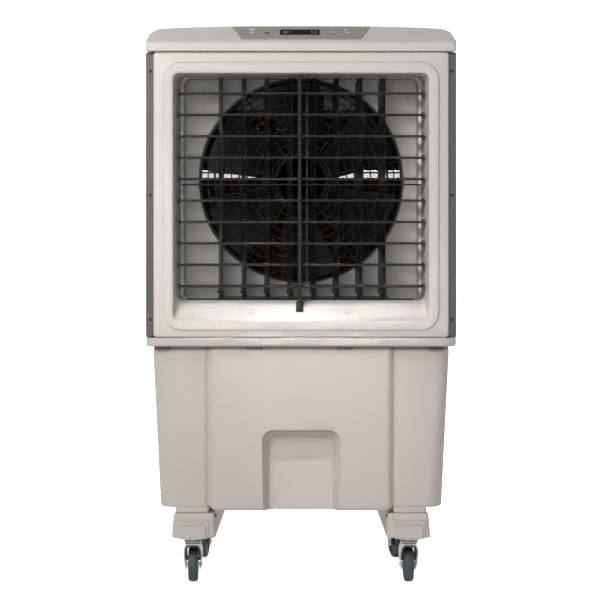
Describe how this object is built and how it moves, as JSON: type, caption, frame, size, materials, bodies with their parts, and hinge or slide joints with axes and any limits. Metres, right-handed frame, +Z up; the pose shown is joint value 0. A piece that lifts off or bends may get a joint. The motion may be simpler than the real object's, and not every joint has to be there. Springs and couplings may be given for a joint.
{
  "type": "evaporative cooler",
  "caption": "Tall wheeled evaporative air cooler with a louvred front outlet, axial fan, side and rear cooling pads and a tapered water tank on swivel casters.",
  "frame": {"origin": "on the floor under the middle of the cooler's bounding box", "axes": "+Z up; the air outlet and control panel face -Y; +X is to the right seen from the front"},
  "size_m": [0.66, 0.43, 1.2],
  "materials": {
    "shell": "satin",
    "tank_plastic": "satin",
    "grille_plastic": "matte",
    "blade_plastic": "satin",
    "fan_plastic": "satin",
    "panel_plastic": "satin",
    "key_plastic": "satin",
    "white_plastic": "satin",
    "pad_cellulose": "matte",
    "steel": "polished",
    "bracket_steel": "satin",
    "motor_casing": "satin",
    "brass": "satin",
    "tread": "matte"
  },
  "bodies": {
    "body": {"tank": "tank_plastic", "inlet_valve": "brass", "pump": "fan_plastic", "base_frame": "shell", "front_panel": "shell", "rear_frame": "shell", "rear_grille": "grille_plastic", "side_grille_left": "grille_plastic", "side_grille_right": "grille_plastic", "lid": "shell", "control_panel": "panel_plastic", "centre_support": "blade_plastic", "swing_motor": "motor_casing", "fan_deck": "white_plastic", "fan_guard": "fan_plastic", "fan_motor": "motor_casing", "motor_bracket": "bracket_steel", "pad_left": "pad_cellulose", "pad_right": "pad_cellulose", "pad_rear": "pad_cellulose", "water_distributor": "white_plastic", "caster_beam_left": "tank_plastic", "caster_beam_right": "tank_plastic"},
    "key_1": {"button_1": "key_plastic"},
    "key_2": {"button_2": "key_plastic"},
    "key_3": {"button_3": "key_plastic"},
    "key_4": {"button_4": "key_plastic"},
    "blade_01": {"louvre_01": "blade_plastic"},
    "blade_02": {"louvre_02": "blade_plastic"},
    "blade_03": {"louvre_03": "blade_plastic"},
    "blade_04": {"louvre_04": "blade_plastic"},
    "blade_05": {"louvre_05": "blade_plastic"},
    "blade_06": {"louvre_06": "blade_plastic"},
    "blade_07": {"louvre_07": "blade_plastic"},
    "blade_08": {"louvre_08": "blade_plastic"},
    "blade_09": {"louvre_09": "blade_plastic"},
    "blade_10": {"louvre_10": "blade_plastic"},
    "blade_link": {"louvre_link": "blade_plastic"},
    "upright_1": {"vane_1": "blade_plastic"},
    "upright_2": {"vane_2": "blade_plastic"},
    "upright_3": {"vane_3": "blade_plastic"},
    "upright_4": {"vane_4": "blade_plastic"},
    "upright_5": {"vane_5": "blade_plastic"},
    "upright_6": {"vane_6": "blade_plastic"},
    "upright_7": {"vane_7": "blade_plastic"},
    "upright_8": {"vane_8": "blade_plastic"},
    "upright_link": {"vane_link": "blade_plastic"},
    "fan": {"fan_rotor": "fan_plastic"},
    "float": {"float_arm": "white_plastic"},
    "cap": {"drain_cap": "grille_plastic"},
    "swivel_front_left": {"fork_front_left": "steel"},
    "roller_front_left": {"wheel_front_left": "tread"},
    "swivel_front_right": {"fork_front_right": "steel"},
    "roller_front_right": {"wheel_front_right": "tread"},
    "swivel_rear_left": {"fork_rear_left": "steel"},
    "roller_rear_left": {"wheel_rear_left": "tread"},
    "swivel_rear_right": {"fork_rear_right": "steel"},
    "roller_rear_right": {"wheel_rear_right": "tread"}
  },
  "joints": [
    {"name": "key_1_press", "type": "slide", "parent": "body", "child": "key_1", "axis": [0, 0.6735, -0.7392], "range_m": [0, 0.001], "stiffness_N_per_m": 800, "springref_m": -0.0005},
    {"name": "key_2_press", "type": "slide", "parent": "body", "child": "key_2", "axis": [0, 0.6735, -0.7392], "range_m": [0, 0.001], "stiffness_N_per_m": 800, "springref_m": -0.0005},
    {"name": "key_3_press", "type": "slide", "parent": "body", "child": "key_3", "axis": [0, 0.6735, -0.7392], "range_m": [0, 0.001], "stiffness_N_per_m": 800, "springref_m": -0.0005},
    {"name": "key_4_press", "type": "slide", "parent": "body", "child": "key_4", "axis": [0, 0.6735, -0.7392], "range_m": [0, 0.001], "stiffness_N_per_m": 800, "springref_m": -0.0005},
    {"name": "louvre_01_tilt", "type": "hinge", "parent": "body", "child": "blade_01", "pos_m": [0, -0.157, 1.0567], "axis": [1, 0, 0], "range_deg": [-30, 30]},
    {"name": "louvre_02_tilt", "type": "hinge", "parent": "body", "child": "blade_02", "pos_m": [0, -0.157, 1.01075], "axis": [1, 0, 0], "range_deg": [-30, 30]},
    {"name": "louvre_03_tilt", "type": "hinge", "parent": "body", "child": "blade_03", "pos_m": [0, -0.157, 0.9648], "axis": [1, 0, 0], "range_deg": [-30, 30]},
    {"name": "louvre_04_tilt", "type": "hinge", "parent": "body", "child": "blade_04", "pos_m": [0, -0.157, 0.91885], "axis": [1, 0, 0], "range_deg": [-30, 30]},
    {"name": "louvre_05_tilt", "type": "hinge", "parent": "body", "child": "blade_05", "pos_m": [0, -0.157, 0.8729], "axis": [1, 0, 0], "range_deg": [-30, 30]},
    {"name": "louvre_06_tilt", "type": "hinge", "parent": "body", "child": "blade_06", "pos_m": [0, -0.157, 0.82695], "axis": [1, 0, 0], "range_deg": [-30, 30]},
    {"name": "louvre_07_tilt", "type": "hinge", "parent": "body", "child": "blade_07", "pos_m": [0, -0.157, 0.781], "axis": [1, 0, 0], "range_deg": [-30, 30]},
    {"name": "louvre_08_tilt", "type": "hinge", "parent": "body", "child": "blade_08", "pos_m": [0, -0.157, 0.73505], "axis": [1, 0, 0], "range_deg": [-30, 30]},
    {"name": "louvre_09_tilt", "type": "hinge", "parent": "body", "child": "blade_09", "pos_m": [0, -0.157, 0.6891], "axis": [1, 0, 0], "range_deg": [-30, 30]},
    {"name": "louvre_10_tilt", "type": "hinge", "parent": "body", "child": "blade_10", "pos_m": [0, -0.157, 0.64315], "axis": [1, 0, 0], "range_deg": [-30, 30]},
    {"name": "louvre_link_pivot", "type": "hinge", "parent": "blade_01", "child": "blade_link", "pos_m": [0.0128, -0.12909, 1.0589], "axis": [1, 0, 0], "range_deg": [-30, 30]},
    {"name": "vane_1_swing", "type": "hinge", "parent": "body", "child": "upright_1", "pos_m": [-0.17745, -0.087, 0.86], "axis": [0, 0, 1], "range_deg": [-49, 31]},
    {"name": "vane_2_swing", "type": "hinge", "parent": "body", "child": "upright_2", "pos_m": [-0.12675, -0.087, 0.86], "axis": [0, 0, 1], "range_deg": [-49, 31]},
    {"name": "vane_3_swing", "type": "hinge", "parent": "body", "child": "upright_3", "pos_m": [-0.07605, -0.087, 0.86], "axis": [0, 0, 1], "range_deg": [-49, 31]},
    {"name": "vane_4_swing", "type": "hinge", "parent": "body", "child": "upright_4", "pos_m": [-0.02535, -0.087, 0.86], "axis": [0, 0, 1], "range_deg": [-49, 31]},
    {"name": "vane_5_swing", "type": "hinge", "parent": "body", "child": "upright_5", "pos_m": [0.02535, -0.087, 0.86], "axis": [0, 0, 1], "range_deg": [-49, 31]},
    {"name": "vane_6_swing", "type": "hinge", "parent": "body", "child": "upright_6", "pos_m": [0.07605, -0.087, 0.86], "axis": [0, 0, 1], "range_deg": [-49, 31]},
    {"name": "vane_7_swing", "type": "hinge", "parent": "body", "child": "upright_7", "pos_m": [0.12675, -0.087, 0.86], "axis": [0, 0, 1], "range_deg": [-49, 31]},
    {"name": "vane_8_swing", "type": "hinge", "parent": "body", "child": "upright_8", "pos_m": [0.17745, -0.087, 0.86], "axis": [0, 0, 1], "range_deg": [-49, 31]},
    {"name": "vane_link_pivot", "type": "hinge", "parent": "upright_5", "child": "upright_link", "pos_m": [0.02989, -0.11564, 0.6265], "axis": [0, 0, 1], "range_deg": [-31, 49]},
    {"name": "fan_spin", "type": "hinge", "parent": "body", "child": "fan", "pos_m": [0, 0, 0.88], "axis": [0, 1, 0], "continuous": true},
    {"name": "float_lift", "type": "hinge", "parent": "body", "child": "float", "pos_m": [0.235, 0.158, 0.455], "axis": [-1, 0, 0], "range_deg": [0, 35]},
    {"name": "drain_cap_turn", "type": "hinge", "parent": "body", "child": "cap", "pos_m": [0, 0.205, 0.196], "axis": [0, 1, 0], "continuous": true},
    {"name": "caster_front_left_swivel", "type": "hinge", "parent": "body", "child": "swivel_front_left", "pos_m": [-0.234, -0.146, 0.094], "axis": [0, 0, 1], "continuous": true},
    {"name": "caster_front_left_roll", "type": "hinge", "parent": "swivel_front_left", "child": "roller_front_left", "pos_m": [-0.23498, -0.11802, 0.0375], "axis": [0.9994, 0.0349, 0], "continuous": true},
    {"name": "caster_front_right_swivel", "type": "hinge", "parent": "body", "child": "swivel_front_right", "pos_m": [0.234, -0.146, 0.094], "axis": [0, 0, 1], "continuous": true},
    {"name": "caster_front_right_roll", "type": "hinge", "parent": "swivel_front_right", "child": "roller_front_right", "pos_m": [0.234, -0.118, 0.0375], "axis": [1, 0, 0], "continuous": true},
    {"name": "caster_rear_left_swivel", "type": "hinge", "parent": "body", "child": "swivel_rear_left", "pos_m": [-0.234, 0.146, 0.094], "axis": [0, 0, 1], "continuous": true},
    {"name": "caster_rear_left_roll", "type": "hinge", "parent": "swivel_rear_left", "child": "roller_rear_left", "pos_m": [-0.23205, 0.17393, 0.0375], "axis": [0.9976, -0.0698, 0], "continuous": true},
    {"name": "caster_rear_right_swivel", "type": "hinge", "parent": "body", "child": "swivel_rear_right", "pos_m": [0.234, 0.146, 0.094], "axis": [0, 0, 1], "continuous": true},
    {"name": "caster_rear_right_roll", "type": "hinge", "parent": "swivel_rear_right", "child": "roller_rear_right", "pos_m": [0.22675, 0.17305, 0.0375], "axis": [0.9659, 0.2588, 0], "continuous": true}
  ],
  "couplings": [
    {"joint": "louvre_02_tilt", "follows": "louvre_01_tilt", "ratio": 1},
    {"joint": "louvre_03_tilt", "follows": "louvre_01_tilt", "ratio": 1},
    {"joint": "louvre_04_tilt", "follows": "louvre_01_tilt", "ratio": 1},
    {"joint": "louvre_05_tilt", "follows": "louvre_01_tilt", "ratio": 1},
    {"joint": "louvre_06_tilt", "follows": "louvre_01_tilt", "ratio": 1},
    {"joint": "louvre_07_tilt", "follows": "louvre_01_tilt", "ratio": 1},
    {"joint": "louvre_08_tilt", "follows": "louvre_01_tilt", "ratio": 1},
    {"joint": "louvre_09_tilt", "follows": "louvre_01_tilt", "ratio": 1},
    {"joint": "louvre_10_tilt", "follows": "louvre_01_tilt", "ratio": 1},
    {"joint": "louvre_link_pivot", "follows": "louvre_01_tilt", "ratio": -1},
    {"joint": "vane_1_swing", "follows": "vane_5_swing", "ratio": 1},
    {"joint": "vane_2_swing", "follows": "vane_5_swing", "ratio": 1},
    {"joint": "vane_3_swing", "follows": "vane_5_swing", "ratio": 1},
    {"joint": "vane_4_swing", "follows": "vane_5_swing", "ratio": 1},
    {"joint": "vane_6_swing", "follows": "vane_5_swing", "ratio": 1},
    {"joint": "vane_7_swing", "follows": "vane_5_swing", "ratio": 1},
    {"joint": "vane_8_swing", "follows": "vane_5_swing", "ratio": 1},
    {"joint": "vane_link_pivot", "follows": "vane_5_swing", "ratio": -1}
  ]
}
